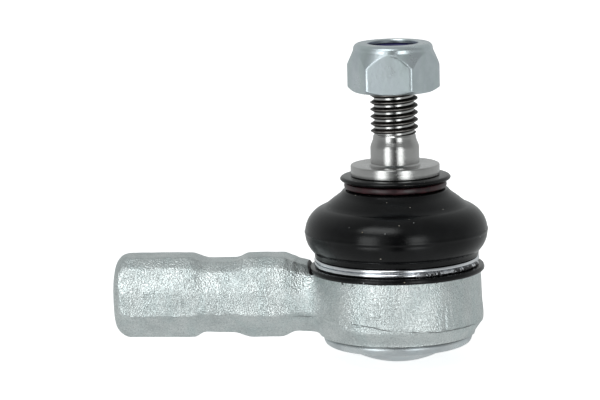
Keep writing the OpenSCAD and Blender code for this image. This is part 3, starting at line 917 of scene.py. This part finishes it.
def makeNut():
    low, high = cadBox("lock_nut")
    flats, collar, lipOpening = nut["flats"], nut["collar"], nut["lipOpening"]
    corner, base, top = flats / math.cos(math.radians(30)), low.z, high.z
    hexTop, lip = base + nut["hexHeight"], top - nut["lipThickness"]
    bm = bmesh.new()
    bmesh.ops.create_cone(bm, cap_ends=True, segments=6, radius1=corner, radius2=corner,
                          depth=nut["hexHeight"])
    yaw = Matrix.Rotation(math.radians(30 + nut["yaw"]), 3, "Z")
    bmesh.ops.rotate(bm, verts=bm.verts, cent=(0, 0, 0), matrix=yaw)
    bmesh.ops.translate(bm, verts=bm.verts, vec=(0, 0, base + nut["hexHeight"] / 2))
    upright = [edge for edge in bm.edges if abs(edge.verts[0].co.z - edge.verts[1].co.z) > 1]
    bmesh.ops.bevel(bm, geom=upright, offset=nut["edgeRound"], offset_type="OFFSET", affect="EDGES",
                    segments=4, profile=0.5, material=-1)
    piece = newPiece("lockNut", bm, nutZinc)
    cones = [(0, base, 0), (flats - 0.1, base, 0), (corner + 0.1, base + nut["underChamfer"], 0),
             (corner + 0.1, hexTop - nut["topCone"], 0), (collar, hexTop, 0), (0, hexTop, 0)]
    combine(piece, "INTERSECT", turned(cones, 192))
    closed = [(0, base + 3, 0), (collar, base + 3, 0)]
    closed += arc(collar - nut["collarRound"], top - nut["collarRound"], nut["collarRound"], 8, 76, 8)
    closed += [(lipOpening + 0.4, top, 0), (0, top, 0)]
    combine(piece, "UNION", turned(closed, 192))
    softened(piece, nut["skin"], nut["thin"], lambda bm: smooth(bm, bm.verts, nut["soften"]))
    inside = [(0, base + nut["pocketLow"], 0), (nut["pocket"], base + nut["pocketLow"], 0.1),
              (nut["pocket"], lip, 0.15), (lipOpening, lip, 0), (lipOpening, top - 0.2, 0),
              (lipOpening + 0.3, top + 0.3, 0), (0, top + 0.3, 0)]
    leadIn = [(0, base - 0.5, 0), (nut["threadCrest"] + 0.75, base - 0.5, 0),
              (nut["threadRoot"] - 0.1, base + 0.85, 0), (0, base + 0.85, 0)]
    thread = threaded(nut["threadRoot"], nut["threadCrest"], base - 3, top + 3)
    for hollow in (turned(inside, 144), turned(leadIn, 144), thread):
        combine(piece, "DIFFERENCE", hollow, nutZinc)
    return finishPiece(piece, "nut_zinc", "lock_nut", body="nut", sharp=30)


def makeInsert():
    low, high = cadBox("nut_insert")
    bore = nut["threadCrest"]
    outline = [(bore, low.z + 0.3, 0), (bore + 0.3, low.z, 0), (high.x, low.z, 0.15),
               (high.x, high.z, 0.15), (bore + 0.75, high.z, 0.3), (bore, high.z - 0.45, 0.25)]
    piece = newPiece("nylonRing", turned(outline, 144), nylon)
    return finishPiece(piece, "nylon", "nut_insert", body="nut_ring", sharp=40)


lockNut = makeNut()
nylonRing = makeInsert()

# The hidden pieces keep their CAD shape
springSteel, acetal = makeSpringSteel(), makeAcetal()
for node, material in (("preload_spring", springSteel), ("lower_bearing_shell", acetal),
                       ("upper_bearing_shell", acetal)):
    frame["nodes"][node].data.materials.clear()
    frame["nodes"][node].data.materials.append(material)
print("all pieces made")


# Stage: pale floor, soft tent of light and the camera

stage = {
    "floorSize": 6.0, "camera": (-0.01996, -0.774, 0.1220), "pitch": 9.48, "roll": -1.3, "yaw": 5.2,
    "lens": 225.7, "sensor": 36.0, "floorGlow": 0.66,
}
# Soft boxes of the tent as azimuth range from the camera's side, elevation range, edge and strength
softBoxes = [
    ((-48, -26), (-24, 26), 5, 2.7), ((15, 35), (-22, 24), 5, 2.6), ((-60, -3), (42, 64), 8, 3.7),
    ((100, 260), (0, 60), 20, 0.22),
]
darkSlots = [((-9, 10), (-30, 30), 3, 0.40), ((-4.5, 5.5), (-30, 40), 1.5, 0.4)]


def boxMask(tree, azimuth, elevation, box):
    across, upwards, edge, mask = box
    for angle, (start, end) in ((azimuth, across), (elevation, upwards)):
        mask = scaled(tree, mask, ranged(tree, angle, start - edge, start + edge))
        mask = scaled(tree, mask, ranged(tree, angle, end - edge, end + edge, 1.0, 0.0))
    return mask


def makeTent():
    world = bpy.data.worlds.new("lightTent")
    bpy.context.scene.world = world
    world.use_nodes = True
    tree = world.node_tree
    parts = addNode(tree, "SeparateXYZ", {0: addNode(tree, "TexCoord").outputs["Generated"]}).outputs
    behind = scaled(tree, parts[1], -1.0)
    azimuth = calculate(tree, "DEGREES", calculate(tree, "ARCTAN2", parts[0], behind))
    azimuth = calculate(tree, "SUBTRACT", azimuth, stage["yaw"])
    wrapped = calculate(tree, "MODULO", calculate(tree, "ADD", azimuth, 360.0), 360.0)
    elevation = calculate(tree, "DEGREES", calculate(tree, "ARCSINE", parts[2]))
    light = ranged(tree, elevation, -25.0, 25.0, 0.60, 0.34)
    light = calculate(tree, "ADD", light, ranged(tree, elevation, 50.0, 90.0, 0.0, 0.1))
    for box in softBoxes:
        around = wrapped if box[0][1] > 180 else azimuth
        light = calculate(tree, "ADD", light, boxMask(tree, around, elevation, box))
    for slot in darkSlots:
        light = calculate(tree, "SUBTRACT", light, boxMask(tree, azimuth, elevation, slot))
    tent = tree.nodes["Background"]
    tree.links.new(calculate(tree, "MAXIMUM", light, 0.03), tent.inputs["Strength"])
    tent.inputs["Color"].default_value = (0.955, 0.985, 0.985, 1)
    plain = addNode(tree, "Background", {"Color": (1, 1, 1, 1), "Strength": 1.0})
    seen = addNode(tree, "LightPath").outputs["Is Camera Ray"]
    both = addNode(tree, "MixShader", {0: seen, 1: tent.outputs[0], 2: plain.outputs[0]})
    tree.links.new(both.outputs[0], tree.nodes["World Output"].inputs["Surface"])


def makeFloor():
    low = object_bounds()[0]
    bm = bmesh.new()
    bmesh.ops.create_grid(bm, x_segments=1, y_segments=1, size=stage["floorSize"])
    bmesh.ops.translate(bm, verts=bm.verts, vec=(0, 0, low.z))
    fixed = {"Roughness": 0.9, "Emission Color": (1, 1, 1, 1), "Emission Strength": stage["floorGlow"]}
    material, tree, place = newMaterial("paleFloor", fixed)
    pale = mixed(tree, noisy(tree, place, 30.0), (0.90, 0.90, 0.90), (0.93, 0.93, 0.93))
    floor = newPiece("floor", bm, finishMaterial(material, pale))
    floor.visible_glossy = False


def makeCamera():
    camera = bpy.data.objects.new("camera", bpy.data.cameras.new("camera"))
    camera.data.lens, camera.data.sensor_width = stage["lens"], stage["sensor"]
    camera.data.clip_start, camera.data.clip_end = 0.01, 50
    pitch = Matrix.Rotation(math.radians(90 - stage["pitch"]), 4, "X")
    roll = Matrix.Rotation(math.radians(stage["roll"]), 4, "Z")
    yaw = Matrix.Rotation(math.radians(stage["yaw"]), 4, "Z")
    camera.matrix_world = yaw @ Matrix.Translation(stage["camera"]) @ pitch @ roll
    bpy.context.scene.collection.objects.link(camera)
    bpy.context.scene.camera = camera


makeTent()
makeFloor()
makeCamera()
bpy.context.scene.view_settings.view_transform = "Standard"
print("stage set")
